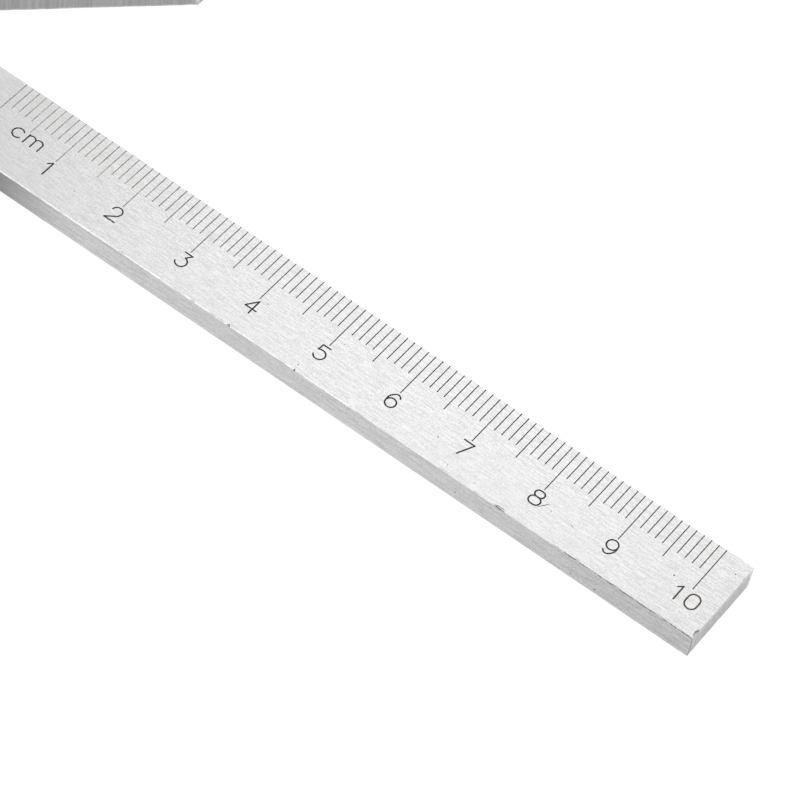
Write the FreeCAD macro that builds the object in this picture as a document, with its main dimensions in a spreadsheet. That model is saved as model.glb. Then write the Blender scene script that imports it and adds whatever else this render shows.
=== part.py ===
"""Centre square: a right-angled V head with a graduated blade whose scale edge halves the angle.

The V head lies flat. Its two arms open towards +X and rest on round stock, and the blade, screwed
and pinned on top of the front arm, then passes over the centre of the stock. The blade runs along
+X, its scale edge lies on Y = 0, and the head's underside is Z = 0. The origin is the bottom centre
of the whole tool. Every sub-part is drawn from the zero mark of the scale and then moved to it.
"""
import FreeCAD, Part
import os

import Sketcher

V = FreeCAD.Vector

# Driving dimensions in millimetres, angles in degrees, and two counts of graduations.
SIZES = {
    "arm_length": 70.0,          # outer side of each arm, from the apex to its tip
    "arm_width": 11.2,
    "head_height": 10.0,
    "head_edge_break": 0.1,      # small bevel round the head's top and bottom
    "relief_radius": 1.25,       # clearance hole in the inner corner of the V
    "blade_width": 12.25,
    "blade_thickness": 3.5,
    "blade_past_scale": 3.6,     # blank end beyond the last graduation
    "blade_edge_break": 0.1,
    "scale_length": 100.0,
    "tick_pitch": 1.0,
    "tick_width": 0.13,
    "tick_short": 4.05,
    "tick_middle": 5.45,
    "tick_long": 6.9,
    "middle_every": 5,           # every fifth graduation is of middle length
    "long_every": 10,            # every tenth is long and carries a numeral
    "mark_depth": 0.08,          # engraving below the blade's face
    "fill_thickness": 0.06,      # dark fill lying in the engraving
    "stroke_width": 0.2,
    "numeral_height": 2.12,
    "numeral_gap": 0.33,         # between a long tick and the numeral under it
    "digit_pitch": 1.84,         # between the two digits of the last numeral
    "letter_height": 1.45,
    "letter_baseline": 7.13,     # below the scale edge
    "letter_c_middle": 3.98,     # along the scale
    "letter_m_middle": 6.3,
    "screw_radius": 1.25,
    "screw_length": 10.0,
    "screw_head_radius": 2.35,
    "screw_head_sink": 0.15,     # screw head below the blade's face
    "screw_point_bevel": 0.3,
    "screw_slot_width": 0.6,
    "screw_slot_depth": 0.65,
    "slot_angle_apex_end": 25.0,
    "slot_angle_tip_end": 70.0,
    "screw_offset": 4.0,         # from the middle of the joint, along the arm
    "screw_clearance_radius": 1.35,
    "countersink_angle": 90.0,
    "pin_radius": 1.0,
    "pin_length": 10.0,
    "pin_bevel": 0.2,
    "pin_offset": 3.2,           # from the middle of the joint, across the arm
    "blind_hole_spare": 1.0,     # blind holes run on this far below the screw or pin
}

# Lengths worked out from the driving dimensions, as expressions of the sheet.
OUTER_REACH = "(Sizes.arm_length / sqrt(2))"
INNER_REACH = "(Sizes.arm_length / sqrt(2) - Sizes.arm_width * sqrt(2))"
BLADE_END = "(Sizes.scale_length + Sizes.blade_past_scale)"
ZERO_MARK_X = f"(({OUTER_REACH} - {BLADE_END}) / 2)"
JOINT_X = f"((Sizes.blade_width - {OUTER_REACH} - {INNER_REACH}) / 2)"
JOINT_Y = "(-Sizes.blade_width / 2)"
BLADE_TOP = "(Sizes.head_height + Sizes.blade_thickness)"

doc = FreeCAD.newDocument("centre_square")


# ---------------------------------------------------------------- the sheet

def make_sheet():
    """Put every driving dimension in the spreadsheet, one row each."""
    sheet = doc.addObject("Spreadsheet::Sheet", "Sizes")
    for row, (name, value) in enumerate(SIZES.items(), start=1):
        sheet.set(f"A{row}", name)
        sheet.set(f"B{row}", str(value))
        sheet.setAlias(f"B{row}", name)
    doc.recompute()
    return sheet


SHEET = make_sheet()


def size(name):
    """A driving dimension, read back from the sheet."""
    return float(getattr(SHEET, name))


def value_of(expression):
    """The number that an expression of the sheet stands for."""
    return float(SHEET.evalExpression(expression.replace("Sizes.", "")))


# ------------------------------------------------------- helpers for bodies

def new_body(label):
    body = doc.addObject("PartDesign::Body", label)
    body.Label = label
    return body


def new_sketch(body, name, plane="XY_Plane", height=None):
    """A sketch on one of the body's own origin planes, raised by an expression if one is given."""
    sketch = body.newObject("Sketcher::SketchObject", name)
    support = next(f for f in body.Origin.OriginFeatures if f.Role == plane)
    sketch.AttachmentSupport = [(support, "")]
    sketch.MapMode = "FlatFace"
    if height:
        sketch.setExpression("AttachmentOffset.Base.z", height)
    return sketch


def locate(sketch, geometry, point, x, y, name):
    """Hold one point of the sketch at (x, y) from its origin, both given as expressions."""
    for kind, expression in (("DistanceX", x), ("DistanceY", y)):
        label = f"{name}_{kind[-1].lower()}"
        constraint = Sketcher.Constraint(kind, -1, 1, geometry, point, value_of(expression))
        index = sketch.addConstraint(constraint)
        sketch.renameConstraint(index, label)
        sketch.setExpression(f"Constraints.{label}", expression)


def draw_outline(sketch, corners):
    """A closed outline of straight sides through corners, each an (x, y) pair of expressions."""
    first = sketch.GeometryCount
    points = [V(value_of(x), value_of(y), 0) for x, y in corners]
    count = len(points)
    for i in range(count):
        sketch.addGeometry(Part.LineSegment(points[i], points[(i + 1) % count]), False)
    for i in range(count):
        here = first + i
        after = first + (i + 1) % count
        sketch.addConstraint(Sketcher.Constraint("Coincident", here, 2, after, 1))
    for i, (x, y) in enumerate(corners):
        locate(sketch, first + i, 1, x, y, f"corner_{first + i}")


def draw_circle(sketch, x, y, radius):
    """A circle held by expressions for its centre and radius."""
    circle = Part.Circle(V(value_of(x), value_of(y), 0), V(0, 0, 1), value_of(radius))
    index = sketch.addGeometry(circle, False)
    locate(sketch, index, 3, x, y, f"centre_{index}")
    label = f"radius_{index}"
    constraint = sketch.addConstraint(Sketcher.Constraint("Radius", index, value_of(radius)))
    sketch.renameConstraint(constraint, label)
    sketch.setExpression(f"Constraints.{label}", radius)


def pad(body, sketch, length):
    feature = body.newObject("PartDesign::Pad", f"{sketch.Name}_pad")
    feature.Profile = sketch
    feature.setExpression("Length", length)
    doc.recompute()
    return feature


def pocket(body, sketch, depth):
    """Cut a sketch down into the body, and make sure that it removed something."""
    before = body.Shape.Volume
    feature = body.newObject("PartDesign::Pocket", f"{sketch.Name}_pocket")
    feature.Profile = sketch
    feature.setExpression("Length", depth)
    doc.recompute()
    check_cut(body, feature, before)
    return feature


def drill(body, sketch, radius, depth=None):
    """Drill a hole down from each circle of a sketch: through, or blind to a given depth."""
    before = body.Shape.Volume
    feature = body.newObject("PartDesign::Hole", f"{sketch.Name}_hole")
    feature.Profile = sketch
    doc.recompute()
    feature.ThreadType = "None"
    feature.setExpression("Diameter", f"2 * {radius}")
    if depth:
        feature.DepthType = "Dimension"
        feature.DrillPoint = "Angled"
        feature.setExpression("Depth", depth)
    else:
        feature.DepthType = "ThroughAll"
        feature.DrillPoint = "Flat"
    doc.recompute()
    check_cut(body, feature, before)
    return feature


def check_cut(body, feature, before):
    if body.Shape.Volume > before - 1e-6:
        raise RuntimeError(f"{feature.Label} cut nothing")


def bevel_rims(body, base, amount, heights):
    """Bevel every edge that lies in one of the given horizontal planes."""
    rims = []
    for number, edge in enumerate(base.Shape.Edges, start=1):
        box = edge.BoundBox
        flat = box.ZLength < 1e-6
        if flat and any(abs(box.ZMin - value_of(height)) < 1e-6 for height in heights):
            rims.append(f"Edge{number}")
    feature = body.newObject("PartDesign::Chamfer", f"{base.Name}_bevel")
    feature.Base = (base, rims)
    feature.setExpression("Size", amount)
    doc.recompute()
    return feature


def place(part, x, y, z):
    """Bind a sub-part's place to the sheet."""
    part.setExpression("Placement.Base.x", x)
    part.setExpression("Placement.Base.y", y)
    part.setExpression("Placement.Base.z", z)


# ------------------------------------------------- where the fasteners stand

def joint_point(along, across):
    """A point of the joint, from its middle, along and across the front arm."""
    x = f"({JOINT_X} + ({along} + {across}) / sqrt(2))"
    y = f"({JOINT_Y} + ({across} - {along}) / sqrt(2))"
    return x, y


SCREW_POINTS = {
    "screw_apex_end": joint_point("-Sizes.screw_offset", "0"),
    "screw_tip_end": joint_point("Sizes.screw_offset", "0"),
}
PIN_POINTS = {
    "dowel_pin_outer": joint_point("0", "-Sizes.pin_offset"),
    "dowel_pin_inner": joint_point("0", "Sizes.pin_offset"),
}


# ------------------------------------------------------------------- v_head

def make_v_head():
    """The V of two arms at a right angle, their tips cut square to the blade at the zero mark."""
    body = new_body("v_head")
    outline = new_sketch(body, "head_outline")
    draw_outline(outline, [
        (f"-{OUTER_REACH}", "0"),
        ("0", f"-{OUTER_REACH}"),
        ("0", f"-{INNER_REACH}"),
        (f"-{INNER_REACH}", "0"),
        ("0", INNER_REACH),
        ("0", OUTER_REACH),
    ])
    plate = pad(body, outline, "Sizes.head_height")
    bevel_rims(body, plate, "Sizes.head_edge_break", ["0", "Sizes.head_height"])

    relief = new_sketch(body, "corner_relief", height="Sizes.head_height")
    draw_circle(relief, f"-{INNER_REACH}", "0", "Sizes.relief_radius")
    drill(body, relief, "Sizes.relief_radius")

    sunk = "Sizes.blind_hole_spare - Sizes.blade_thickness"
    threads = new_sketch(body, "screw_threads", height="Sizes.head_height")
    for x, y in SCREW_POINTS.values():
        draw_circle(threads, x, y, "Sizes.screw_radius")
    screw_depth = f"Sizes.screw_length + Sizes.screw_head_sink + {sunk}"
    drill(body, threads, "Sizes.screw_radius", screw_depth)

    seats = new_sketch(body, "pin_seats", height="Sizes.head_height")
    for x, y in PIN_POINTS.values():
        draw_circle(seats, x, y, "Sizes.pin_radius")
    drill(body, seats, "Sizes.pin_radius", f"Sizes.pin_length + {sunk}")

    place(body, ZERO_MARK_X, "0", "0")
    return body


# -------------------------------------------------------------------- blade

def cut_ticks(body, name, length, spacing):
    """Cut one row of graduations from the scale edge inwards, every spacing along the scale."""
    half = "Sizes.tick_width / 2"
    overrun = "Sizes.tick_width"
    tick = new_sketch(body, name, height="Sizes.blade_thickness")
    draw_outline(tick, [
        (f"-{half}", f"-{length}"),
        (half, f"-{length}"),
        (half, overrun),
        (f"-{half}", overrun),
    ])
    groove = pocket(body, tick, "Sizes.mark_depth")
    row = body.newObject("PartDesign::LinearPattern", f"{name}_row")
    row.Originals = [groove]
    row.Direction = (tick, ["H_Axis"])
    row.setExpression("Length", "Sizes.scale_length")
    row.setExpression("Occurrences", f"Sizes.scale_length / ({spacing}) + 1")
    body.Tip = row
    doc.recompute()


def make_blade_bar():
    """The blade with its holes and graduations, before the numerals are cut."""
    body = new_body("blade_bar")
    outline = new_sketch(body, "blade_outline")
    draw_outline(outline, [
        (f"-{OUTER_REACH}", "0"),
        (f"Sizes.blade_width - {OUTER_REACH}", "-Sizes.blade_width"),
        (BLADE_END, "-Sizes.blade_width"),
        (BLADE_END, "0"),
    ])
    bar = pad(body, outline, "Sizes.blade_thickness")
    bevel_rims(body, bar, "Sizes.blade_edge_break", ["0", "Sizes.blade_thickness"])

    clearance = new_sketch(body, "screw_clearance", height="Sizes.blade_thickness")
    for x, y in SCREW_POINTS.values():
        draw_circle(clearance, x, y, "Sizes.screw_clearance_radius")
    holes = drill(body, clearance, "Sizes.screw_clearance_radius")
    holes.HoleCutType = "Countersink"
    holes.setExpression("HoleCutDiameter", "2 * (Sizes.screw_head_radius + Sizes.screw_head_sink)")
    holes.setExpression("HoleCutCountersinkAngle", "Sizes.countersink_angle")
    doc.recompute()

    reamed = new_sketch(body, "pin_bores", height="Sizes.blade_thickness")
    for x, y in PIN_POINTS.values():
        draw_circle(reamed, x, y, "Sizes.pin_radius")
    drill(body, reamed, "Sizes.pin_radius")

    cut_ticks(body, "tick_short_cut", "Sizes.tick_short", "Sizes.tick_pitch")
    cut_ticks(body, "tick_middle_cut", "Sizes.tick_middle", "Sizes.middle_every * Sizes.tick_pitch")
    cut_ticks(body, "tick_long_cut", "Sizes.tick_long", "Sizes.long_every * Sizes.tick_pitch")
    return body


# ------------------------------------------------------ numerals and letters
#
# A character is a list of strokes on a grid whose unit is the character's height: y = 0 is the
# baseline and x = 0 the character's middle. A path holds its start, then (x, y) for a straight
# run, or two points, on the way and at the end, for an arc. A loop holds its middle, half width
# and half height, and is an upright or lying band with round ends. A stem is one upright line, and
# holds its x and its two ends.

CHARACTERS = {
    "0": [("loop", (0.0, 0.5), 0.345, 0.5)],
    "1": [("path", (-0.24, 0.79), (0.0, 1.0), (0.0, 0.0))],
    "2": [("path", (-0.32, 0.72), ((-0.01, 1.0), (0.3, 0.7)), ((0.26, 0.55), (0.17, 0.42)),
           (-0.37, 0.0), (0.32, 0.0))],
    "3": [("path", (-0.25, 1.0), (0.28, 1.0), (0.02, 0.67), ((0.24, 0.1), (-0.33, 0.2)))],
    "4": [("path", (0.13, 1.0), (-0.34, 0.34), (0.38, 0.34)),
          ("stem", 0.13, 0.0, 1.0)],
    "5": [("path", (0.21, 1.0), (-0.27, 1.0), (-0.31, 0.59), ((-0.18, 0.65), (-0.04, 0.67)),
           ((0.295, 0.335), (-0.04, 0.0)), ((-0.24, 0.05), (-0.36, 0.18)))],
    "6": [("loop", (-0.015, 0.315), 0.315, 0.315),
          ("path", (-0.33, 0.34), ((-0.27, 0.76), (0.0, 1.0)), ((0.15, 0.96), (0.25, 0.85)))],
    "7": [("path", (-0.35, 1.0), (0.31, 1.0), (-0.15, 0.0))],
    "8": [("loop", (-0.01, 0.775), 0.29, 0.225),
          ("loop", (-0.02, 0.275), 0.345, 0.275)],
    "9": [("loop", (-0.01, 0.67), 0.325, 0.33),
          ("path", (0.315, 0.66), ((0.26, 0.24), (-0.01, 0.0)), ((-0.16, 0.04), (-0.27, 0.15)))],
    "c": [("path", (0.37, 0.835), ((-0.5, 0.5), (0.37, 0.165)))],
    "m": [("stem", -0.74, 0.0, 1.0),
          ("path", (-0.74, 0.8), ((-0.32, 1.0), (0.0, 0.72)), (0.0, 0.0)),
          ("path", (0.0, 0.8), ((0.42, 1.0), (0.74, 0.72)), (0.74, 0.0))],
}


def band_wire(middle, half_width, half_height):
    """A closed band with round ends, or a circle where it is as wide as it is high."""
    reach = min(half_width, half_height)
    if abs(half_width - half_height) < 1e-6:
        return Part.Wire([Part.Circle(middle, V(0, 0, 1), reach).toShape()])
    along = V(half_width - reach, half_height - reach, 0)
    side = V(reach, 0, 0) if half_height > half_width else V(0, reach, 0)
    cap = along.normalize() * reach
    far = middle + V(half_width - reach, half_height - reach, 0)
    near = middle - V(half_width - reach, half_height - reach, 0)
    edges = [
        Part.Arc(far - side, far + cap, far + side).toShape(),
        Part.LineSegment(far + side, near + side).toShape(),
        Part.Arc(near + side, near - cap, near - side).toShape(),
        Part.LineSegment(near - side, far - side).toShape(),
    ]
    return Part.Wire(edges)


def loop_face(middle, half_width, half_height, width):
    """The ring that a stroke of the given width leaves round a band."""
    half = width / 2
    outer = Part.Face(band_wire(middle, half_width + half, half_height + half))
    inner = Part.Face(band_wire(middle, half_width - half, half_height - half))
    return outer.cut(inner)


def stem_face(low, high, width):
    """The face that a round-ended stroke of the given width leaves along an upright line."""
    return Part.Face(band_wire((low + high) / 2, width / 2, (high - low).Length / 2 + width / 2))


def path_face(points, width):
    """The face that a round-ended stroke of the given width leaves along a path."""
    here = points[0]
    edges = []
    for step in points[1:]:
        if isinstance(step, tuple):
            edges.append(Part.Arc(here, step[0], step[1]).toShape())
            here = step[1]
        else:
            edges.append(Part.LineSegment(here, step).toShape())
            here = step
    return Part.Wire(edges).makeOffset2D(width / 2, 0, True, False, False)


def character_solid(character, x, baseline, height, width, depth):
    """One engraved character, standing up from Z = 0."""
    def at(point):
        return V(x + point[0] * height, baseline + point[1] * height, 0)

    faces = []
    for kind, *stroke in CHARACTERS[character]:
        if kind == "loop":
            middle, half_width, half_height = stroke
            faces.append(loop_face(at(middle), half_width * height, half_height * height, width))
        elif kind == "stem":
            along, low, high = stroke
            faces.append(stem_face(at((along, low)), at((along, high)), width))
        else:
            points = [tuple(at(p) for p in s) if isinstance(s[0], tuple) else at(s)
                      for s in stroke]
            faces.append(path_face(points, width))
    solid = faces[0].extrude(V(0, 0, depth))
    for face in faces[1:]:
        solid = solid.fuse(face.extrude(V(0, 0, depth)))
    return solid.removeSplitter()


def lettering(depth):
    """Every numeral along the scale, and the unit, as solids of one depth."""
    width = size("stroke_width")
    height = size("numeral_height")
    baseline = -(size("tick_long") + size("numeral_gap") + height)
    numeral_pitch = size("long_every") * size("tick_pitch")
    solids = []
    for numeral in range(1, int(size("scale_length") / numeral_pitch) + 1):
        text = str(numeral)
        for place_in_text, character in enumerate(text):
            shift = (place_in_text - (len(text) - 1) / 2) * size("digit_pitch")
            x = numeral * numeral_pitch + shift
            solids.append(character_solid(character, x, baseline, height, width, depth))
    unit_height = size("letter_height")
    unit_baseline = -size("letter_baseline")
    for character in "cm":
        x = size(f"letter_{character}_middle")
        solids.append(character_solid(character, x, unit_baseline, unit_height, width, depth))
    return solids


def make_blade():
    """The finished blade: the bar with the numerals cut into its top face."""
    bar = make_blade_bar()
    cutter = doc.addObject("Part::Feature", "lettering_cutter")
    depth = size("mark_depth")
    cutter.Shape = Part.makeCompound(lettering(2 * depth))
    cutter.Placement = FreeCAD.Placement(V(0, 0, size("blade_thickness") - depth), FreeCAD.Rotation())
    blade = doc.addObject("Part::Cut", "blade")
    blade.Label = "blade"
    blade.Base = bar
    blade.Tool = cutter
    place(blade, ZERO_MARK_X, "0", "Sizes.head_height")
    doc.recompute()
    return blade


# --------------------------------------------------------------- scale_fill

def make_scale_fill():
    """The dark fill lying in the bottom of every graduation and character."""
    depth = size("fill_thickness")
    width = size("tick_width")
    bevel = size("blade_edge_break")
    solids = lettering(depth)
    for mark in range(int(size("scale_length") / size("tick_pitch")) + 1):
        length = size("tick_short")
        if mark % int(size("middle_every")) == 0:
            length = size("tick_middle")
        if mark % int(size("long_every")) == 0:
            length = size("tick_long")
        corner = V(mark * size("tick_pitch") - width / 2, -length, 0)
        solids.append(Part.makeBox(width, length - bevel, depth, corner))
    fill = doc.addObject("Part::Feature", "scale_fill")
    fill.Label = "scale_fill"
    fill.Shape = Part.makeCompound(solids)
    place(fill, ZERO_MARK_X, "0", f"{BLADE_TOP} - Sizes.mark_depth")
    doc.recompute()
    return fill


# ---------------------------------------------------------------- fasteners

def turned_body(label, profile):
    """A body turned about Z from a half profile of (radius, height) expressions."""
    body = new_body(label)
    section = new_sketch(body, f"{label}_section", plane="XZ_Plane")
    draw_outline(section, profile)
    turn = body.newObject("PartDesign::Revolution", f"{label}_turn")
    turn.Profile = section
    turn.ReferenceAxis = (section, ["V_Axis"])
    turn.Angle = 360.0
    doc.recompute()
    return body


def make_screw(label, position, slot_angle):
    """A slotted countersunk screw, its origin at the middle of its point, its head up."""
    neck = "Sizes.screw_head_radius - Sizes.screw_radius"
    body = turned_body(label, [
        ("0", "0"),
        ("Sizes.screw_radius - Sizes.screw_point_bevel", "0"),
        ("Sizes.screw_radius", "Sizes.screw_point_bevel"),
        ("Sizes.screw_radius", f"Sizes.screw_length - ({neck})"),
        ("Sizes.screw_head_radius", "Sizes.screw_length"),
        ("0", "Sizes.screw_length"),
    ])
    slot = new_sketch(body, f"{label}_slot", height="Sizes.screw_length")
    reach = "Sizes.screw_head_radius + Sizes.screw_slot_width"
    half = "Sizes.screw_slot_width / 2"
    draw_outline(slot, [
        (f"-{reach}", f"-{half}"),
        (reach, f"-{half}"),
        (reach, half),
        (f"-{reach}", half),
    ])
    slot.setExpression("AttachmentOffset.Rotation.Angle", slot_angle)
    pocket(body, slot, "Sizes.screw_slot_depth")
    x, y = position
    z = f"{BLADE_TOP} - Sizes.screw_head_sink - Sizes.screw_length"
    place(body, f"{ZERO_MARK_X} + {x}", y, z)
    return body


def make_pin(label, position):
    """A dowel pin with bevelled ends, ground flush with the blade's top face."""
    body = turned_body(label, [
        ("0", "0"),
        ("Sizes.pin_radius - Sizes.pin_bevel", "0"),
        ("Sizes.pin_radius", "Sizes.pin_bevel"),
        ("Sizes.pin_radius", "Sizes.pin_length"),
        ("0", "Sizes.pin_length"),
    ])
    x, y = position
    place(body, f"{ZERO_MARK_X} + {x}", y, f"{BLADE_TOP} - Sizes.pin_length")
    return body


# ------------------------------------------------------------- the assembly

def make_all():
    parts = [make_v_head(), make_blade(), make_scale_fill()]
    for label, position in SCREW_POINTS.items():
        slot_angle = label.replace("screw", "Sizes.slot_angle")
        parts.append(make_screw(label, position, slot_angle))
    for label, position in PIN_POINTS.items():
        parts.append(make_pin(label, position))
    doc.recompute()
    return parts


def check_all(parts):
    """Stop before anything is written if an object failed or a shape is empty or broken."""
    for item in doc.Objects:
        if {"Invalid", "Error"} & set(item.State):
            raise RuntimeError(f"{item.Label} failed: {item.State}")
    for part in parts:
        if part.Shape.isNull() or not part.Shape.isValid():
            raise RuntimeError(f"{part.Label} has no valid shape")


def write_all(parts):
    os.makedirs("parts", exist_ok=True)
    for part in parts:
        part.Shape.exportStep(f"parts/{part.Label}.step")
        box = part.Shape.BoundBox
        print(f"{part.Label:18s} solids {len(part.Shape.Solids):4d}  volume {part.Shape.Volume:10.3f}"
              f"  x {box.XMin:8.3f} {box.XMax:8.3f}  y {box.YMin:8.3f} {box.YMax:8.3f}"
              f"  z {box.ZMin:7.3f} {box.ZMax:7.3f}")


PARTS = make_all()
check_all(PARTS)
write_all(PARTS)
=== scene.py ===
import math

import bmesh
import bpy
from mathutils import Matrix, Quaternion, Vector, noise


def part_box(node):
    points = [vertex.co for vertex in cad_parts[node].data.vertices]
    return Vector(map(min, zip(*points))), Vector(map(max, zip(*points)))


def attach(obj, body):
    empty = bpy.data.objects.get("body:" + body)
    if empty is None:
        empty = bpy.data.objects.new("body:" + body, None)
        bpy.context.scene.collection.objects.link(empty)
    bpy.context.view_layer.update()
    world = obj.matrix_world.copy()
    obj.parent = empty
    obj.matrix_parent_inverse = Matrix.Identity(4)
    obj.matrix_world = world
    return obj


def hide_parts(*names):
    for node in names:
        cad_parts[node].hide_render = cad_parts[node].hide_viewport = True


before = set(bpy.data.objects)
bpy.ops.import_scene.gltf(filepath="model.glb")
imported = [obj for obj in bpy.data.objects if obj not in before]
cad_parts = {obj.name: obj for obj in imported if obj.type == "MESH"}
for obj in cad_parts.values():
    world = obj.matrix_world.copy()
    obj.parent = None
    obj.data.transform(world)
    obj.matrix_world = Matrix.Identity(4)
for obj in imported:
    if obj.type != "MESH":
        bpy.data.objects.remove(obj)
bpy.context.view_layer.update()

MM = 0.001

BLADE_LOW, BLADE_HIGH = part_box("blade")
HEAD_LOW, HEAD_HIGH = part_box("v_head")
ZERO_MARK = Vector((HEAD_HIGH.x, BLADE_HIGH.y, BLADE_HIGH.z))


def on_top(x, y):
    """A point of the graduated face, in millimetres from the zero mark at the scale edge."""
    return ZERO_MARK + Vector((x, y, 0.0)) * MM


def at_mark(x):
    """The X of the graduation at x millimetres."""
    return ZERO_MARK.x + x * MM


def on_front(x, z):
    """A point of the blade's front side, in millimetres from the zero mark and the top face."""
    return Vector((ZERO_MARK.x + x * MM, BLADE_LOW.y, ZERO_MARK.z + z * MM))


# -------------------------------------------------------------------- sizes

ARM_WIDTH = 11.2 * MM
SCALE_LENGTH = 100.0 * MM
MARK_DEPTH = 0.08 * MM
SCREW_CLEARANCE = 1.35 * MM
SEAM = 0.015 * MM                # gap round each pin
TAIL_EASE = 40.0 * MM            # the blade's stretch that is slanted into its mitred tail

# Bevels of the blade. The one along the top front edge takes FRONT_BREAK of the top face and
# FACE_BREAK of the front side. Both narrow to EDGE_BREAK over BEVEL_FADE.
EDGE_BREAK = 0.015 * MM
FACE_BREAK = 0.05 * MM
FRONT_BREAK = 0.12 * MM
BEVEL_FADE = 1.0 * MM

# The slight wave of the long top edges.
WAVE_REACH = 0.3 * MM
WAVE_LENGTH = 1.1 * MM
WAVE_DEPTH = 0.012 * MM

# Steps of the blade's grid of faces, and the least gap between two of its lines.
STEP_ALONG = 0.6 * MM
STEP_ACROSS = 2.5 * MM
STEP_UP = 0.9 * MM
LEAST_GAP = 0.01 * MM

# Cutters stand out of the surface by CUT_CLEAR. Marks that reach to within EDGE_MARK_REACH of the
# scale edge are cut through it.
CUT_CLEAR = 0.05 * MM
EDGE_MARK_REACH = 0.2 * MM
WELD_DISTANCE = 1e-6
ON_FACE = 1e-7                   # how near the face a point on it may lie

# How far from the scale edge the numerals and the letters begin, and the letters' stretch along
# the scale, in millimetres.
NUMERALS_BELOW = 6.9
LETTERS_BELOW = 5.55
LETTERS_ALONG = (2.5, 8.5)

SCREWS = ("screw_apex_end", "screw_tip_end")
PINS = ("dowel_pin_outer", "dowel_pin_inner")

# Stretches of the top front edge with a burr and a dark line, in millimetres from the zero mark.
BURRED = [(39.55, 39.9), (49.0, 49.2), (77.2, 78.3), (86.5, 104.0)]

# Dents: centre, reach along X, Y and Z, and push, in millimetres from the zero mark.
FRONT_EDGE = -12.25
DENTS = [
    ((24.1, FRONT_EDGE, 0.0), (0.35, 0.2, 0.2), (0.0, 0.04, -0.01)),
    ((34.5, FRONT_EDGE, 0.0), (0.3, 0.2, 0.2), (0.0, 0.06, -0.01)),
    ((37.4, FRONT_EDGE, 0.0), (0.5, 0.2, 0.25), (0.0, 0.04, 0.0)),
    ((38.6, FRONT_EDGE, 0.0), (0.5, 0.2, 0.25), (0.0, 0.05, 0.0)),
    ((39.7, FRONT_EDGE, 0.0), (0.16, 0.2, 0.25), (0.0, 0.11, -0.03)),
    ((43.6, FRONT_EDGE, 0.0), (0.3, 0.2, 0.15), (0.0, 0.03, 0.0)),
    ((49.1, FRONT_EDGE, -0.1), (0.14, 0.2, 0.18), (0.0, 0.12, -0.03)),
    ((77.7, FRONT_EDGE, 0.0), (0.7, 0.25, 0.15), (0.0, 0.07, -0.03)),
    ((88.3, FRONT_EDGE, -0.05), (0.5, 0.2, 0.15), (0.0, 0.06, 0.0)),
    ((93.5, FRONT_EDGE, -0.05), (0.8, 0.2, 0.15), (0.0, 0.05, 0.0)),
    ((99.0, FRONT_EDGE, -0.05), (0.9, 0.2, 0.15), (0.0, 0.06, 0.0)),
]

# Chips out of the sawn end: centre and reach along X, Y and Z, in millimetres from the zero mark.
CHIPS = [
    ((103.7, -2.1, 0.1), (0.16, 0.3, 0.22)),
    ((103.72, -6.2, -3.6), (0.2, 0.5, 0.3)),
    ((103.7, -0.6, -1.7), (0.16, 0.2, 0.4)),
    ((103.72, -0.22, -0.05), (0.14, 0.16, 0.2)),
]

# The thumbnail-shaped scoop next to the end's front corner. SCOOP_FLAT is its X to Y ratio. Each
# step of its profile, going upwards, is a share of its radius and a depth in millimetres.
SCOOP_MIDDLE = (103.8, -11.38)
SCOOP_WIDTH = 1.36 * MM
SCOOP_FLAT = 0.68
SCOOP_PROFILE = ((0.42, 2.6), (0.66, 2.1), (0.86, 1.3), (0.97, 0.5), (1.0, -0.05))

# Pits: a point of the blade's surface and a radius in millimetres.
PITS = [(on_top(*place), radius) for place, radius in (
    ((66.8, -8.93), 0.08), ((97.4, -6.71), 0.1), ((41.15, -6.9), 0.07), ((48.99, -11.37), 0.08),
    ((51.2, -5.6), 0.05), ((57.0, -5.8), 0.05), ((21.8, -2.0), 0.05), ((102.5, -2.1), 0.07),
    ((73.1, -10.6), 0.05), ((14.4, -8.8), 0.06), ((30.3, -10.1), 0.05))]
PITS += [(on_front(*place), radius) for place, radius in (
    ((60.13, -1.32), 0.06), ((71.94, -2.34), 0.09), ((87.89, -2.82), 0.08), ((91.14, -2.77), 0.1),
    ((73.69, -1.71), 0.05), ((76.6, -0.9), 0.06), ((49.08, -0.22), 0.09), ((91.1, -1.78), 0.06),
    ((82.6, -1.2), 0.05), ((96.4, -1.0), 0.06), ((98.3, -0.8), 0.05))]

# Scratches: two ends and a width in millimetres. The first is the stained one. Each step of a
# groove's cutter is a share of the scratch's length and a share of its width and depth.
SCRATCH_DEPTH = 0.05
SCRATCH_CLEAR = 0.04
SCRATCH_SWELL = ((0.0, 0.25), (0.2, 0.8), (0.5, 1.0), (0.8, 0.9), (1.0, 0.2))
SCRATCHES = [(on_top(*first), on_top(*last), width) for first, last, width in (
    ((80.62, -9.38), (81.62, -8.02), 0.2),
    ((69.8, -11.1), (69.98, -11.7), 0.07), ((73.53, -11.5), (73.7, -11.1), 0.07),
    ((82.21, -8.62), (82.29, -8.97), 0.1), ((84.95, -8.82), (85.41, -8.89), 0.12))]
SCRATCHES += [(on_front(*first), on_front(*last), width) for first, last, width in (
    ((89.7, -1.68), (90.15, -1.6), 0.08), ((90.3, -1.6), (90.85, -1.73), 0.07))]


# ------------------------------------------------------------------- camera

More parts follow.
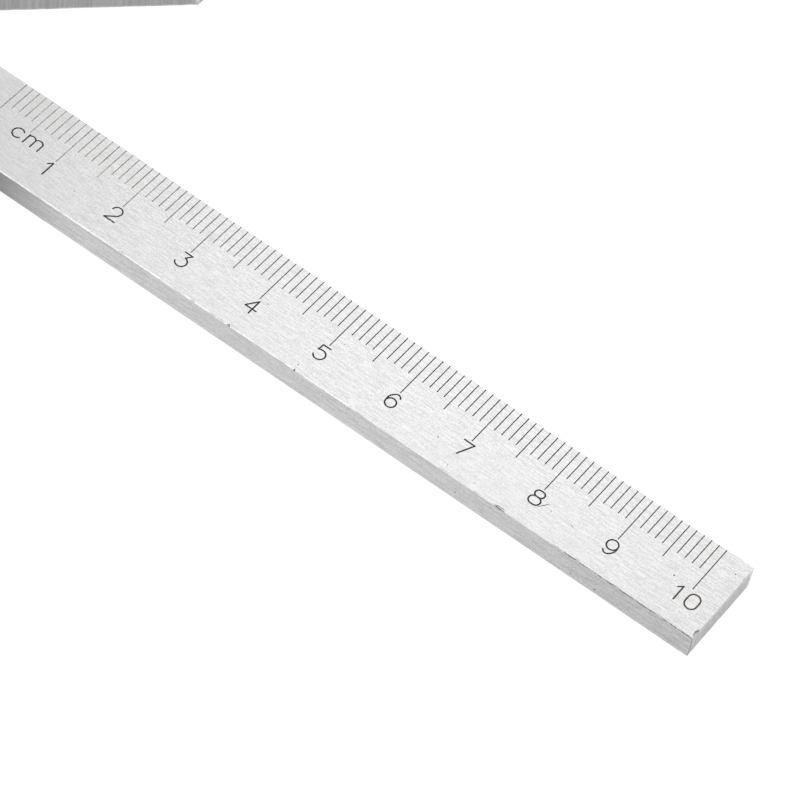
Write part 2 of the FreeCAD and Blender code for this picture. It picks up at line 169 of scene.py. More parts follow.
def make_camera():
    """The camera looks down on the free end of the blade from in front and to the right."""
    place = ZERO_MARK + Vector((184.65, -240.2, 346.0)) * MM
    aim = ZERO_MARK + Vector((60.556, -7.682, 0.0)) * MM
    roll = math.radians(10.874)
    data = bpy.data.cameras.new("camera")
    data.sensor_width = 36.0
    data.lens = 175.33
    data.clip_start = 0.01
    data.clip_end = 10.0
    camera = bpy.data.objects.new("camera", data)
    bpy.context.scene.collection.objects.link(camera)
    camera.rotation_mode = "QUATERNION"
    camera.location = place
    level = (aim - place).to_track_quat("-Z", "Y")
    camera.rotation_quaternion = level @ Quaternion((0.0, 0.0, 1.0), roll)
    bpy.context.scene.camera = camera


# ------------------------------------------------------------ node shorthand

class Shader:
    """A material's node tree, with one short call for each kind of node."""

    def __init__(self, name):
        self.material = bpy.data.materials.new(name)
        self.material.use_nodes = True
        self.nodes = self.material.node_tree.nodes
        self.links = self.material.node_tree.links
        self.surface = self.nodes["Principled BSDF"]
        texture = self.node("ShaderNodeTexCoord")
        self.place = texture.outputs["Object"]
        split = self.node("ShaderNodeSeparateXYZ")
        self.links.new(self.place, split.inputs[0])
        self.x, self.y, self.z = split.outputs
        facing = self.node("ShaderNodeSeparateXYZ")
        self.links.new(texture.outputs["Normal"], facing.inputs[0])
        self.facing_x, self.facing_y, self.facing_z = facing.outputs

    def node(self, kind, **settings):
        made = self.nodes.new(kind)
        for key, value in settings.items():
            setattr(made, key, value)
        return made

    def feed(self, socket, value):
        if isinstance(value, bpy.types.NodeSocket):
            self.links.new(value, socket)
        else:
            socket.default_value = value

    def math(self, operation, a, b=0.0):
        made = self.node("ShaderNodeMath", operation=operation)
        self.feed(made.inputs[0], a)
        self.feed(made.inputs[1], b)
        return made.outputs[0]

    def vector(self, x, y, z):
        made = self.node("ShaderNodeCombineXYZ")
        for socket, value in zip(made.inputs, (x, y, z)):
            self.feed(socket, value)
        return made.outputs[0]

    def noise(self, frequencies, detail=2.0, roughness=0.5, place=None, distortion=0.0):
        """Noise with so many features per metre along each of the place's three axes."""
        mapping = self.node("ShaderNodeMapping")
        self.links.new(place or self.place, mapping.inputs["Vector"])
        mapping.inputs["Scale"].default_value = frequencies
        texture = self.node("ShaderNodeTexNoise")
        self.links.new(mapping.outputs["Vector"], texture.inputs["Vector"])
        texture.inputs["Scale"].default_value = 1.0
        texture.inputs["Detail"].default_value = detail
        texture.inputs["Roughness"].default_value = roughness
        texture.inputs["Distortion"].default_value = distortion
        return texture.outputs["Fac"]

    def ranged(self, value, low, high, to_low=0.0, to_high=1.0):
        made = self.node("ShaderNodeMapRange", interpolation_type="SMOOTHSTEP")
        for name, given in (("Value", value), ("From Min", low), ("From Max", high),
                            ("To Min", to_low), ("To Max", to_high)):
            self.feed(made.inputs[name], given)
        return made.outputs["Result"]

    def between(self, value, low, high, soft):
        """1 where the value lies between low and high, falling to 0 over the soft distance."""
        middle, half = (low + high) / 2, (high - low) / 2
        away = self.math("ABSOLUTE", self.math("SUBTRACT", value, middle))
        return self.ranged(away, half, half + soft, 1.0, 0.0)

    def blend(self, factor, a, b):
        made = self.node("ShaderNodeMix", data_type="RGBA")
        for name, given in (("Factor", factor), ("A", a), ("B", b)):
            socket = next(s for s in made.inputs if s.name == name and s.enabled)
            self.feed(socket, given)
        return next(s for s in made.outputs if s.enabled)

    def ramp(self, value, stops):
        """A colour that changes along the value, from (position, colour) stops."""
        made = self.node("ShaderNodeValToRGB")
        self.feed(made.inputs["Fac"], value)
        elements = made.color_ramp.elements
        while len(elements) < len(stops):
            elements.new(0.5)
        for element, (position, colour) in zip(elements, stops):
            element.position = position
            element.color = colour
        return made.outputs["Color"]

    def nearest_edge(self, a, b, c):
        """Distance from a box's nearest edge, from the distances to its three pairs of faces."""
        lesser = self.math("MINIMUM", a, b)
        greater = self.math("MAXIMUM", a, b)
        return self.math("MAXIMUM", lesser, self.math("MINIMUM", greater, c))

    def inside(self, value, low, high):
        """Distance from the nearer of two parallel faces at low and high."""
        return self.math("MINIMUM", self.math("SUBTRACT", value, low),
                         self.math("SUBTRACT", high, value))

    def by_grain(self, grain, to_low=0.0, to_high=1.0):
        """Spreads the grain's middle values, where most of them lie, over the given range."""
        return self.ranged(grain, 0.36, 0.64, to_low, to_high)

    def bump(self, height, distance):
        made = self.node("ShaderNodeBump")
        made.inputs["Distance"].default_value = distance
        self.links.new(height, made.inputs["Height"])
        self.links.new(made.outputs["Normal"], self.surface.inputs["Normal"])


def grey(level, warmth=0.0):
    return (level * (1 + warmth), level, level * (1 - warmth), 1.0)


# A dark grey, for the painted shade in the end's hollows and for the dark lines at the burrs.
DARK_TONE = grey(0.15, 0.05)


# ----------------------------------------------------------------- materials

def blade_steel():
    """Satin steel brushed along the blade, with a duller sawn end, dark lines along the burred
    edges, painted shade at both ends of the front side and a painted highlight on the top front
    edge.
    """
    steel = Shader("blade_steel")
    steel.surface.inputs["Metallic"].default_value = 1.0

    hair = steel.noise((480.0, 6000.0, 6000.0), detail=1.0, roughness=0.7)
    streak = steel.noise((260.0, 3400.0, 3400.0), detail=2.0, roughness=0.65, distortion=0.3)
    speck = steel.noise((3600.0, 5400.0, 5400.0), detail=0.0)
    cloud = steel.noise((35.0, 90.0, 90.0), detail=1.0)
    grain = steel.math("MULTIPLY", hair, 0.55)
    grain = steel.math("ADD", grain, steel.math("MULTIPLY", streak, 0.1))
    grain = steel.math("ADD", grain, steel.math("MULTIPLY", speck, 0.35))

    side = steel.ranged(steel.math("MULTIPLY", steel.facing_y, -1.0), 0.6, 0.9)
    contrast = steel.by_grain(grain)
    top_face = steel.blend(contrast, grey(0.515), grey(0.635))
    side_face = steel.blend(contrast, grey(0.48), grey(0.66))
    soft = steel.ranged(cloud, 0.35, 0.65, 0.0, 0.2)
    hazy = steel.ranged(steel.x, at_mark(4.0), at_mark(26.0), 0.3, 0.0)
    soft = steel.math("ADD", soft, hazy)
    face = steel.blend(soft, steel.blend(side, top_face, side_face), grey(0.575))
    # Painted shade: the front side darker near the head and, less so, towards the free end.
    front_side_shade = steel.math("ADD",
                      steel.ranged(steel.x, ZERO_MARK.x, at_mark(18.0), 0.8, 0.05),
                      steel.ranged(steel.x, at_mark(60.0), BLADE_HIGH.x, 0.0, 0.14))
    face = steel.blend(steel.math("MULTIPLY", side, front_side_shade), face, grey(0.05))

    # Distances from the blade's faces.
    across = steel.inside(steel.y, BLADE_LOW.y, BLADE_HIGH.y)
    up = steel.inside(steel.z, BLADE_LOW.z, BLADE_HIGH.z)
    along = steel.math("SUBTRACT", BLADE_HIGH.x, steel.x)
    front = steel.math("SUBTRACT", steel.y, BLADE_LOW.y)
    back = steel.math("SUBTRACT", BLADE_HIGH.y, steel.y)
    below = steel.math("SUBTRACT", BLADE_HIGH.z, steel.z)

    # The sawn free end, paler towards the top and the back and dark down its front edge. Its
    #     # hollows are an even grey, with painted shade just under the top face.
    sawn = steel.math("MULTIPLY", steel.ranged(steel.facing_x, 0.3, 0.6),
                      steel.ranged(along, 1.0 * MM, 1.5 * MM, 1.0, 0.0))
    tooth = steel.noise((900.0, 3600.0, 700.0), detail=2.0, roughness=0.6)
    end = steel.blend(steel.ranged(tooth, 0.35, 0.65), grey(0.36, 0.01), grey(0.475, 0.01))
    end = steel.blend(steel.ranged(below, 0.0, 1.15 * MM, 0.55, 0.0), end, grey(0.75))
    end = steel.blend(steel.ranged(back, 0.1 * MM, 1.2 * MM, 0.6, 0.0), end, grey(0.76))
    end = steel.blend(steel.ranged(front, 0.12 * MM, 0.5 * MM, 0.42, 0.0), end, grey(0.12, 0.05))
    hollow = steel.ranged(along, 0.03 * MM, 0.07 * MM)
    end = steel.blend(hollow, end, (0.54, 0.54, 0.5, 1.0))
    shaded = steel.math("MULTIPLY", hollow, steel.ranged(below, 0.3 * MM, 0.55 * MM, 0.85, 0.0))
    end = steel.blend(shaded, end, DARK_TONE)

    # A dark rim round the scoop on the top face.
    scoop = on_top(*SCOOP_MIDDLE)
    aside = steel.math("DIVIDE", steel.math("SUBTRACT", steel.x, scoop.x), SCOOP_FLAT)
    behind = steel.math("SUBTRACT", steel.y, scoop.y)
    out = steel.math("SQRT", steel.math("ADD", steel.math("POWER", aside, 2.0),
                                        steel.math("POWER", behind, 2.0)))
    rim = steel.ranged(out, SCOOP_WIDTH / 2 + 0.03 * MM, SCOOP_WIDTH / 2 + 0.12 * MM, 0.75, 0.0)
    face = steel.blend(rim, face, grey(0.16, 0.05))
    colour = steel.blend(sawn, face, end)

    # Edges rubbed to a paler grey, most of all the top front edge, where this is also a painted
    # highlight.
    edge = steel.nearest_edge(across, up, along)
    rub = steel.noise((700.0, 700.0, 700.0), detail=3.0)
    rub_and_highlight = steel.math("MULTIPLY", steel.ranged(edge, 0.1 * MM, 0.16 * MM, 1.0, 0.0),
                        steel.ranged(rub, 0.3, 0.6, 0.35, 1.0))
    rub_and_highlight = steel.math("MULTIPLY", rub_and_highlight, steel.ranged(front, 0.14 * MM, 0.2 * MM, 1.0, 0.2))
    rub_and_highlight = steel.math("MULTIPLY", rub_and_highlight, steel.ranged(below, 0.14 * MM, 0.2 * MM, 1.0, 0.25))
    colour = steel.blend(rub_and_highlight, colour, grey(0.84))

    # Dark lines along the burred stretches of the top front edge, and down the end's front corner.
    broken = steel.ranged(steel.noise((2400.0, 2400.0, 2400.0), detail=2.0), 0.38, 0.58, 0.42, 1.0)
    lip = steel.math("MULTIPLY", steel.ranged(front, 0.02 * MM, 0.08 * MM, 1.0, 0.0),
                     steel.ranged(below, 0.08 * MM, 0.2 * MM, 1.0, 0.0))
    burred = None
    for first, last in BURRED:
        run = steel.between(steel.x, at_mark(first), at_mark(last), 0.1 * MM)
        burred = run if burred is None else steel.math("MAXIMUM", burred, run)
    dark_lines = steel.math("MULTIPLY", steel.math("MULTIPLY", lip, burred), broken)
    upright = steel.math("MULTIPLY", steel.ranged(front, 0.05 * MM, 0.17 * MM, 1.0, 0.0),
                         steel.ranged(along, 0.02 * MM, 0.06 * MM, 1.0, 0.0))
    dark_lines = steel.math("MAXIMUM", dark_lines, steel.math("MULTIPLY", upright, broken))
    colour = steel.blend(dark_lines, colour, DARK_TONE)
    steel.feed(steel.surface.inputs["Base Color"], colour)

    rough = steel.by_grain(grain, 0.37, 0.35)
    rough = steel.math("ADD", rough, steel.math("MULTIPLY", sawn, 0.08))
    steel.feed(steel.surface.inputs["Roughness"], rough)
    steel.bump(grain, 0.006 * MM)
    return steel.material


def pit_steel():
    """Dark bottoms of the small pits and nicks."""
    pit = Shader("pit_steel")
    pit.surface.inputs["Metallic"].default_value = 1.0
    patch = pit.noise((6000.0, 6000.0, 6000.0))
    pit.feed(pit.surface.inputs["Base Color"], pit.blend(patch, grey(0.17, 0.06), grey(0.3, 0.05)))
    pit.feed(pit.surface.inputs["Roughness"], pit.ranged(patch, 0.3, 0.7, 0.5, 0.7))
    return pit.material


def heat_stain():
    """Straw colour left by the marking tool's stray stroke."""
    stain = Shader("heat_stain")
    stain.surface.inputs["Metallic"].default_value = 1.0
    patch = stain.noise((5000.0, 5000.0, 5000.0))
    straw = stain.blend(patch, (0.5, 0.33, 0.02, 1.0), (0.62, 0.43, 0.04, 1.0))
    stain.feed(stain.surface.inputs["Base Color"], straw)
    stain.feed(stain.surface.inputs["Roughness"], stain.ranged(patch, 0.3, 0.7, 0.4, 0.55))
    return stain.material


def head_steel():
    """Ground steel: marks run up the sides and along the arms' flat faces, with rubbed edges."""
    steel = Shader("head_steel")
    steel.surface.inputs["Metallic"].default_value = 1.0

    aside = steel.math("ABSOLUTE", steel.y)
    lengthwise = steel.math("MULTIPLY", steel.math("ADD", steel.x, aside), math.sqrt(0.5))
    crosswise = steel.math("MULTIPLY", steel.math("SUBTRACT", steel.x, aside), math.sqrt(0.5))
    arm = steel.vector(lengthwise, crosswise, steel.z)
    upright = steel.noise((5200.0, 900.0, 130.0), detail=3.0, roughness=0.6, place=arm)
    flat = steel.noise((170.0, 5200.0, 900.0), detail=3.0, roughness=0.6, place=arm)
    flat_face = steel.ranged(steel.math("ABSOLUTE", steel.facing_z), 0.6, 0.85)
    broad = steel.noise((260.0, 260.0, 260.0), detail=2.0)
    marks = steel.math("MULTIPLY", upright, steel.math("SUBTRACT", 1.0, flat_face))
    marks = steel.math("ADD", marks, steel.math("MULTIPLY", flat, flat_face))
    grain = steel.math("ADD", steel.math("MULTIPLY", marks, 0.85),
                       steel.math("MULTIPLY", broad, 0.15))
    colour = steel.blend(steel.by_grain(grain), grey(0.3), grey(0.41))

    outer = HEAD_LOW.x * math.sqrt(0.5)
    inner = outer + ARM_WIDTH
    edge = steel.nearest_edge(steel.inside(crosswise, outer, inner),
                              steel.inside(steel.z, HEAD_LOW.z, HEAD_HIGH.z),
                              steel.math("SUBTRACT", HEAD_HIGH.x, steel.x))
    rub = steel.noise((500.0, 500.0, 500.0), detail=3.0)
    worn = steel.math("MULTIPLY", steel.ranged(edge, 0.12 * MM, 0.4 * MM, 1.0, 0.0),
                      steel.ranged(rub, 0.3, 0.6, 0.2, 1.0))
    steel.feed(steel.surface.inputs["Base Color"], steel.blend(worn, colour, grey(0.64)))
    steel.feed(steel.surface.inputs["Roughness"], steel.by_grain(grain, 0.32, 0.46))
    steel.bump(grain, 0.01 * MM)
    return steel.material


def turned_steel(name, node, low, high):
    """Steel with fine rings left by turning, round the middle of the node's box. Its grey goes from
    low to high."""
    steel = Shader(name)
    steel.surface.inputs["Metallic"].default_value = 1.0
    lowest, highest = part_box(node)
    middle = (lowest + highest) / 2
    right = steel.math("SUBTRACT", steel.x, middle.x)
    back = steel.math("SUBTRACT", steel.y, middle.y)
    radius = steel.math("SQRT", steel.math("ADD", steel.math("POWER", right, 2.0),
                                           steel.math("POWER", back, 2.0)))
    turned = steel.vector(radius, steel.x, steel.z)
    rings = steel.noise((9000.0, 60.0, 700.0), detail=2.0, place=turned)
    patch = steel.noise((900.0, 900.0, 900.0), detail=3.0)
    grain = steel.math("ADD", steel.math("MULTIPLY", rings, 0.6),
                       steel.math("MULTIPLY", patch, 0.4))
    steel.feed(steel.surface.inputs["Base Color"], steel.blend(grain, grey(low), grey(high)))
    steel.feed(steel.surface.inputs["Roughness"], steel.by_grain(grain, 0.28, 0.42))
    steel.bump(rings, 0.006 * MM)
    return steel.material


def mark_fill():
    """Matt fill of the marks, worn pale and brown near the zero and darkest past the middle."""
    fill = Shader("mark_fill")
    along = fill.math("DIVIDE", fill.math("SUBTRACT", fill.x, ZERO_MARK.x), SCALE_LENGTH)
    worn = fill.ramp(along, [(0.0, (0.44, 0.41, 0.375, 1.0)), (0.3, (0.31, 0.275, 0.235, 1.0)),
                             (0.55, (0.05, 0.042, 0.036, 1.0)), (0.74, (0.02, 0.016, 0.015, 1.0)),
                             (0.86, (0.16, 0.12, 0.085, 1.0)), (0.97, (0.2, 0.125, 0.07, 1.0))])
    numeral, letter = [fill.ranged(fill.y, ZERO_MARK.y - (below + 0.1) * MM,
                                   ZERO_MARK.y - below * MM, 0.85, 0.0)
                       for below in (NUMERALS_BELOW, LETTERS_BELOW)]
    first, last = LETTERS_ALONG
    letter = fill.math("MULTIPLY", letter,
                       fill.between(fill.x, at_mark(first), at_mark(last), 0.1 * MM))
    inked = fill.math("MULTIPLY", fill.math("MAXIMUM", numeral, letter),
                      fill.ranged(along, 0.82, 0.97, 1.0, 0.25))
    worn = fill.blend(inked, worn, grey(0.03, 0.15))
    patch = fill.noise((700.0, 700.0, 700.0), detail=3.0, roughness=0.6)
    shade = fill.blend(fill.ranged(patch, 0.35, 0.7, 0.0, 0.3), worn, grey(0.13, 0.2))
    fill.feed(fill.surface.inputs["Base Color"], shade)
    bare = fill.math("MULTIPLY", fill.ranged(along, 0.1, 0.6, 0.9, 0.0),
                     fill.math("SUBTRACT", 1.0, inked))
    fill.feed(fill.surface.inputs["Metallic"], bare)
    matt = fill.ranged(patch, 0.3, 0.7, 0.55, 0.8)
    fill.feed(fill.surface.inputs["Roughness"],
              fill.math("SUBTRACT", matt, fill.math("MULTIPLY", bare, 0.25)))
    fill.bump(patch, 0.004 * MM)
    return fill.material


def opal_sheet():
    """Opal sheet lit from below, which leaves hardly any shadow on it."""
    sheet = Shader("opal_sheet")
    fibre = sheet.noise((900.0, 900.0, 900.0), detail=3.0)
    sheet.feed(sheet.surface.inputs["Base Color"], sheet.blend(fibre, grey(0.34), grey(0.36)))
    sheet.surface.inputs["Roughness"].default_value = 0.9
    sheet.surface.inputs["Emission Color"].default_value = grey(1.0)
    sheet.surface.inputs["Emission Strength"].default_value = 0.9
    return sheet.material


# --------------------------------------------------------------------- blade


def spread(low, high, step, fine):
    """Lines from low to high at most a step apart, with the bevels' lines and the fine ones."""
    bevel = [0.0, EDGE_BREAK / 2, EDGE_BREAK]
    fixed = [low + b for b in bevel] + [high - b for b in bevel] + list(fine)
    count = math.ceil((high - low) / step)
    loose = [low + (high - low) * n / count for n in range(1, count)]
    room = 0.4 * min(step, 0.3 * MM)
    rounding = 1e-9
    kept = sorted(fixed)
    for line in loose:
        if min(abs(line - other) for other in kept) > room:
            kept.append(line)
    lines = []
    for line in sorted(kept):
        within = low - rounding <= line <= high + rounding
        if within and (not lines or line - lines[-1] > LEAST_GAP):
            lines.append(line)
    return lines


def box_skin(bm, xs, ys, zs):
    """The six sides of a box as one closed grid over the given lines."""
    corners = {}

    def corner(i, j, k):
        if (i, j, k) not in corners:
            corners[i, j, k] = bm.verts.new((xs[i], ys[j], zs[k]))
        return corners[i, j, k]

    def face(*places):
        bm.faces.new([corner(*place) for place in places])

    nx, ny, nz = len(xs) - 1, len(ys) - 1, len(zs) - 1
    for i in range(nx):
        for j in range(ny):
            face((i, j, 0), (i, j + 1, 0), (i + 1, j + 1, 0), (i + 1, j, 0))
            face((i, j, nz), (i + 1, j, nz), (i + 1, j + 1, nz), (i, j + 1, nz))
    for i in range(nx):
        for k in range(nz):
            face((i, 0, k), (i + 1, 0, k), (i + 1, 0, k + 1), (i, 0, k + 1))
            face((i, ny, k), (i, ny, k + 1), (i + 1, ny, k + 1), (i + 1, ny, k))
    for j in range(ny):
        for k in range(nz):
            face((0, j, k), (0, j, k + 1), (0, j + 1, k + 1), (0, j + 1, k))
            face((nx, j, k), (nx, j + 1, k), (nx, j + 1, k + 1), (nx, j, k + 1))


def rounded_off(point):
    """Moves a point of the box's sides onto its bevelled edges."""
    top = point.z > (BLADE_LOW.z + BLADE_HIGH.z) / 2
    front = point.y < (BLADE_LOW.y + BLADE_HIGH.y) / 2
    legs = Vector((EDGE_BREAK, EDGE_BREAK, EDGE_BREAK))
    if front:
        depth = min((BLADE_HIGH.z - point.z) / BEVEL_FADE, 1.0)
        legs.y = FRONT_BREAK + (EDGE_BREAK - FRONT_BREAK) * depth
    if front and top:
        behind = min((point.y - BLADE_LOW.y) / BEVEL_FADE, 1.0)
        legs.z = FACE_BREAK + (EDGE_BREAK - FACE_BREAK) * behind
    inner = Vector([min(max(value, low + leg), high - leg)
                    for value, low, high, leg in zip(point, BLADE_LOW, BLADE_HIGH, legs)])
    out = point - inner
    span = sum(abs(part) / leg for part, leg in zip(out, legs))
    return inner + out / span


def worn(point):
    """Moves a point by the dents, and by the slight wave of the long edges."""
    moved = point.copy()
    for centre, reach, push in DENTS:
        away = [(value - middle) / (far * MM)
                for value, middle, far in zip(point, ZERO_MARK + Vector(centre) * MM, reach)]
        depth = 1.0 - sum(a * a for a in away)
        if depth > 0.0:
            moved += Vector(push) * MM * depth
    edge = max(min(point.y - BLADE_LOW.y, BLADE_HIGH.y - point.y), BLADE_HIGH.z - point.z)
    if edge < WAVE_REACH:
        wave = abs(noise.noise(Vector((point.x / WAVE_LENGTH, round(point.y / MM), 0.0))))
        inward = 1.0 if point.y < (BLADE_LOW.y + BLADE_HIGH.y) / 2 else -1.0
        fade = 1.0 - edge / WAVE_REACH
        moved += Vector((0.0, inward, -0.7)) * (WAVE_DEPTH * wave * fade)
    return moved


def mitred(point):
    """Slants the tail along the head's outer side, easing the blade's first stretch into it."""
    eased = BLADE_LOW.x + TAIL_EASE
    if point.x >= eased:
        return point
    tail = BLADE_LOW.x + (BLADE_HIGH.y - point.y)
    share = (eased - point.x) / (eased - BLADE_LOW.x)
    return Vector((eased - share * (eased - tail), point.y, point.z))


def blade_body():
    """The blade's bar without its marks, as a closed mesh, finer at its edges and dents."""
    fine_x = [BLADE_HIGH.x - away * MM for away in (0.1, 0.17, 0.24, 0.32, 0.42, 0.55, 0.75)]
    for (x, _, _), (reach, _, _), _ in DENTS:
        steps = 8 if reach < 0.6 else 10
        fine_x += [at_mark(x + reach * n / steps) for n in range(-steps, steps + 1)]
    fine_y = [BLADE_LOW.y + away * MM
              for away in (0.06, 0.09, 0.12, 0.17, 0.24, 0.33, 0.45, 0.6, 0.8, 1.05, 1.4)]
    fine_y += [BLADE_HIGH.y - away * MM for away in (0.17, 0.26, 0.4)]
    fine_z = [BLADE_HIGH.z - away * MM for away in (0.05, 0.1, 0.16, 0.22, 0.3, 0.42, 0.6)]
    fine_z += [BLADE_LOW.z + away * MM for away in (0.17, 0.26, 0.4)]
    xs = spread(BLADE_LOW.x, BLADE_HIGH.x, STEP_ALONG, fine_x)
    ys = spread(BLADE_LOW.y, BLADE_HIGH.y, STEP_ACROSS, fine_y)
    zs = spread(BLADE_LOW.z, BLADE_HIGH.z, STEP_UP, fine_z)
    bm = bmesh.new()
    box_skin(bm, xs, ys, zs)
    for vert in bm.verts:
        vert.co = mitred(worn(rounded_off(vert.co.copy())))
    bmesh.ops.recalc_face_normals(bm, faces=bm.faces)
    return bm


def forget_normals(mesh):
    """Drops normals carried over from another mesh."""
    stored = mesh.attributes.get("custom_normal")
    if stored:
        mesh.attributes.remove(stored)


def object_from(bm, name, materials):
    mesh = bpy.data.meshes.new(name)
    bm.to_mesh(mesh)
    bm.free()
    forget_normals(mesh)
    for material in materials:
        mesh.materials.append(material)
    made = bpy.data.objects.new(name, mesh)
    bpy.context.scene.collection.objects.link(made)
    return made


def groove_cutter():
    """The marks' solids, raised through the top face and, at the scale edge, through the edge."""
    bm = bmesh.new()
    bm.from_mesh(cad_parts["scale_fill"].data)
    bmesh.ops.remove_doubles(bm, verts=bm.verts, dist=WELD_DISTANCE)
    for vert in bm.verts:
        if vert.co.z > BLADE_HIGH.z - MARK_DEPTH / 2:
            vert.co.z = BLADE_HIGH.z + CUT_CLEAR
        if vert.co.y > BLADE_HIGH.y - EDGE_MARK_REACH:
            vert.co.y = BLADE_HIGH.y + CUT_CLEAR
    bmesh.ops.recalc_face_normals(bm, faces=bm.faces)
    return bm


def lathed(bm, middle, profile, segments, flat=1.0):
    """A closed turned solid round a vertical line, from (radius, height) pairs going upwards.
    Its sections are ellipses where flat, their X to Y ratio, isn't one."""
    turns = [math.tau * n / segments for n in range(segments)]
    rings = []
    for radius, height in profile:
        rings.append([bm.verts.new((middle.x + radius * flat * math.cos(turn),
                                    middle.y + radius * math.sin(turn), height)) for turn in turns])
    for lower, upper in zip(rings, rings[1:]):
        for n in range(segments):
            m = (n + 1) % segments
            bm.faces.new((lower[n], lower[m], upper[m], upper[n]))
    bm.faces.new(reversed(rings[0]))
    bm.faces.new(rings[-1])


def hole_cutter():
    """Countersunk clearance holes for the screws and reamed holes for the pins."""
    bm = bmesh.new()
    under, over = BLADE_LOW.z - CUT_CLEAR, BLADE_HIGH.z + CUT_CLEAR
    for screw in SCREWS:
        low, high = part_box(screw)
        head = (high.x - low.x) / 2
        mouth = head + (BLADE_HIGH.z - high.z)
        cone_foot = BLADE_HIGH.z - (mouth - SCREW_CLEARANCE)
        profile = [(SCREW_CLEARANCE, under), (SCREW_CLEARANCE, cone_foot),
                   (mouth + CUT_CLEAR, over)]
        lathed(bm, (low + high) / 2, profile, segments=72)
    for pin in PINS:
        low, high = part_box(pin)
        radius = (high.x - low.x) / 2 + SEAM
        lathed(bm, (low + high) / 2, [(radius, under), (radius, over)], segments=48)
    return bm


def uneven_balls(places, fineness):
    """Small uneven balls, from (centre, reach along each axis in millimetres) pairs."""
    unevenness, lumpiness = 0.35, 1.7
    bm = bmesh.new()
    for number, (place, reach) in enumerate(places):
        for vert in bmesh.ops.create_icosphere(bm, subdivisions=fineness, radius=MM)["verts"]:
            sample = vert.co.normalized() * lumpiness + Vector((number, 0.0, 0.0))
            uneven = 1.0 + unevenness * noise.noise(sample)
            vert.co = place + vert.co * Vector(reach) * uneven
    return bm


def pit_cutter():
    balls = [(place, (radius, radius, radius)) for place, radius in PITS]
    return uneven_balls(balls, fineness=2)


def chip_cutter():
    """Small chips in the sawn end, and the scoop beside its front corner."""
    balls = [(ZERO_MARK + Vector(centre) * MM, reach) for centre, reach in CHIPS]
    bm = uneven_balls(balls, fineness=4)
    profile = [(share * SCOOP_WIDTH / 2, ZERO_MARK.z - depth * MM)
               for share, depth in SCOOP_PROFILE]
    lathed(bm, on_top(*SCOOP_MIDDLE), profile, segments=64, flat=SCOOP_FLAT)
    return bm


def scratch_cutter(scratches):
    """Thin pointed bars, each leaving a tapered groove along its scratch."""
    bm = bmesh.new()
    for first, last, width in scratches:
        on_top_face = first.z > BLADE_HIGH.z - ON_FACE
        out = Vector((0, 0, 1)) if on_top_face else Vector((0, -1, 0))
        side = (last - first).cross(out).normalized() * width / 2 * MM
        rings = []
        for share, swell in SCRATCH_SWELL:
            middle = first.lerp(last, share)
            crest = out * SCRATCH_CLEAR * MM
            rings.append([bm.verts.new(middle + side * swell + crest),
                          bm.verts.new(middle - side * swell + crest),
                          bm.verts.new(middle - out * SCRATCH_DEPTH * MM * swell)])
        for one, two in zip(rings, rings[1:]):
            for n in range(3):
                m = (n + 1) % 3
                bm.faces.new((one[n], one[m], two[m], two[n]))
        bm.faces.new(rings[0])
        bm.faces.new(rings[-1])
    bmesh.ops.recalc_face_normals(bm, faces=bm.faces)
    return bm


def carve(target, cutters):
    """Cuts the cutters out of the target at once. They mustn't overlap one another. The faces that
    each one leaves take its material."""
    whole = bmesh.new()
    materials = []
    for cutter, material in cutters:
        for face in cutter.faces:
            face.material_index = len(materials)
        materials.append(material)
        spare = bpy.data.meshes.new("spare")
        cutter.to_mesh(spare)
        cutter.free()
        whole.from_mesh(spare)
        bpy.data.meshes.remove(spare)
    tool = object_from(whole, "cutter", materials)
    cut = target.modifiers.new("cut", "BOOLEAN")
    cut.operation = "DIFFERENCE"
    cut.solver = "EXACT"
    cut.material_mode = "TRANSFER"
    cut.object = tool
    settle(target)
    spent = tool.data
    bpy.data.objects.remove(tool)
    bpy.data.meshes.remove(spent)


def settle(target):
    """Makes what the target's modifiers give its own mesh."""
    bpy.context.view_layer.update()
    graph = bpy.context.evaluated_depsgraph_get()
    made = bpy.data.meshes.new_from_object(target.evaluated_get(graph), depsgraph=graph)
    spent = target.data
    target.modifiers.clear()
    target.data = made
    bpy.data.meshes.remove(spent)
    made.name = target.name


def smooth_by_area(target, angle):
    """Shades the target smooth. Flat faces stay flat, and edges past the angle in degrees sharp."""
    forget_normals(target.data)
    target.data.shade_smooth()
    target.data.update()
    target.data.set_sharp_from_angle(angle=math.radians(angle))
    weighted = target.modifiers.new("flat faces stay flat", "WEIGHTED_NORMAL")
    weighted.keep_sharp = True
    weighted.weight = 90


def make_blade(steel, fill):
    """The graduated blade, with broken edges, engraved marks, holes, nicks, pits and scratches."""
    pit, stain = pit_steel(), heat_stain()
    blade = object_from(blade_body(), "blade_ground", [steel])
    carve(blade, [(hole_cutter(), steel), (groove_cutter(), fill), (pit_cutter(), pit),
                  (chip_cutter(), steel), (scratch_cutter(SCRATCHES[:1]), stain),
                  (scratch_cutter(SCRATCHES[1:]), pit)])
    smooth_by_area(blade, angle=18)
    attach(blade, "root")
    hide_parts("blade")


# --------------------------------------------------------- carried-over nodes

def give(node, material):
    """Makes the material the node's only one."""
    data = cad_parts[node].data
    data.materials.clear()
    data.materials.append(material)


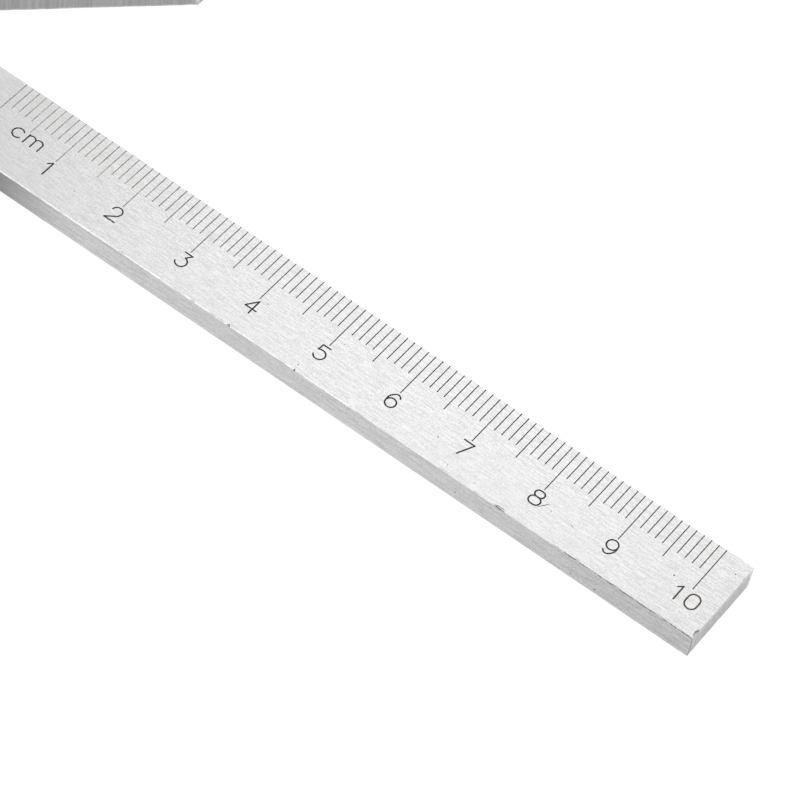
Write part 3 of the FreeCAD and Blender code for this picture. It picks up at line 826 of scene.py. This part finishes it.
def soften(node, width):
    """Rounds a node's sharp edges a little."""
    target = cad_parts[node]
    weld = target.modifiers.new("one skin", "WELD")
    weld.merge_threshold = WELD_DISTANCE
    bevel = target.modifiers.new("broken edges", "BEVEL")
    bevel.width = width
    bevel.segments = 2
    bevel.limit_method = "ANGLE"
    bevel.angle_limit = math.radians(28)
    weighted = target.modifiers.new("flat faces stay flat", "WEIGHTED_NORMAL")
    weighted.weight = 90


# ---------------------------------------------------- floor, light and world

def make_floor():
    """A plain white sheet under the head, wide enough to fill the view."""
    half_width = 1.5
    bm = bmesh.new()
    bmesh.ops.create_grid(bm, x_segments=2, y_segments=2, size=half_width)
    floor = object_from(bm, "floor", [opal_sheet()])


def make_world():
    world = bpy.data.worlds.new("studio")
    world.use_nodes = True
    background = world.node_tree.nodes["Background"]
    background.inputs["Color"].default_value = (1.0, 1.0, 1.0, 1.0)
    background.inputs["Strength"].default_value = 0.34
    bpy.context.scene.world = world


def make_softbox(name, azimuth, elevation, distance, side, radiance):
    """A square soft light facing the middle of the scale, azimuth counted from +Y towards +X."""
    aim = ZERO_MARK + Vector((SCALE_LENGTH / 2, 0.0, 0.0))
    turn, rise = math.radians(azimuth), math.radians(elevation)
    away = Vector((math.sin(turn) * math.cos(rise), math.cos(turn) * math.cos(rise),
                   math.sin(rise)))
    data = bpy.data.lights.new(name, "AREA")
    data.shape = "SQUARE"
    data.size = side
    data.energy = radiance * math.pi * side ** 2
    light = bpy.data.objects.new(name, data)
    bpy.context.scene.collection.objects.link(light)
    light.rotation_mode = "QUATERNION"
    light.location = aim + away * distance
    light.rotation_quaternion = (-away).to_track_quat("-Z", "Y")


# --------------------------------------------------------------------- scene

make_camera()
blade_finish = blade_steel()
fill_finish = mark_fill()
make_blade(blade_finish, fill_finish)
give("blade", blade_finish)
give("scale_fill", fill_finish)
give("v_head", head_steel())
soften("v_head", 0.04 * MM)
for screw in SCREWS:
    give(screw, turned_steel(screw + "_steel", screw, low=0.3, high=0.42))
for pin in PINS:
    give(pin, turned_steel(pin + "_steel", pin, low=0.38, high=0.48))

make_floor()
make_world()
make_softbox("back_softbox", azimuth=-23.5, elevation=52.0, distance=0.9, side=0.45, radiance=2.0)
make_softbox("top_softbox", azimuth=-120.0, elevation=66.0, distance=0.9, side=0.3, radiance=2.4)
bpy.context.scene.view_settings.view_transform = "Standard"
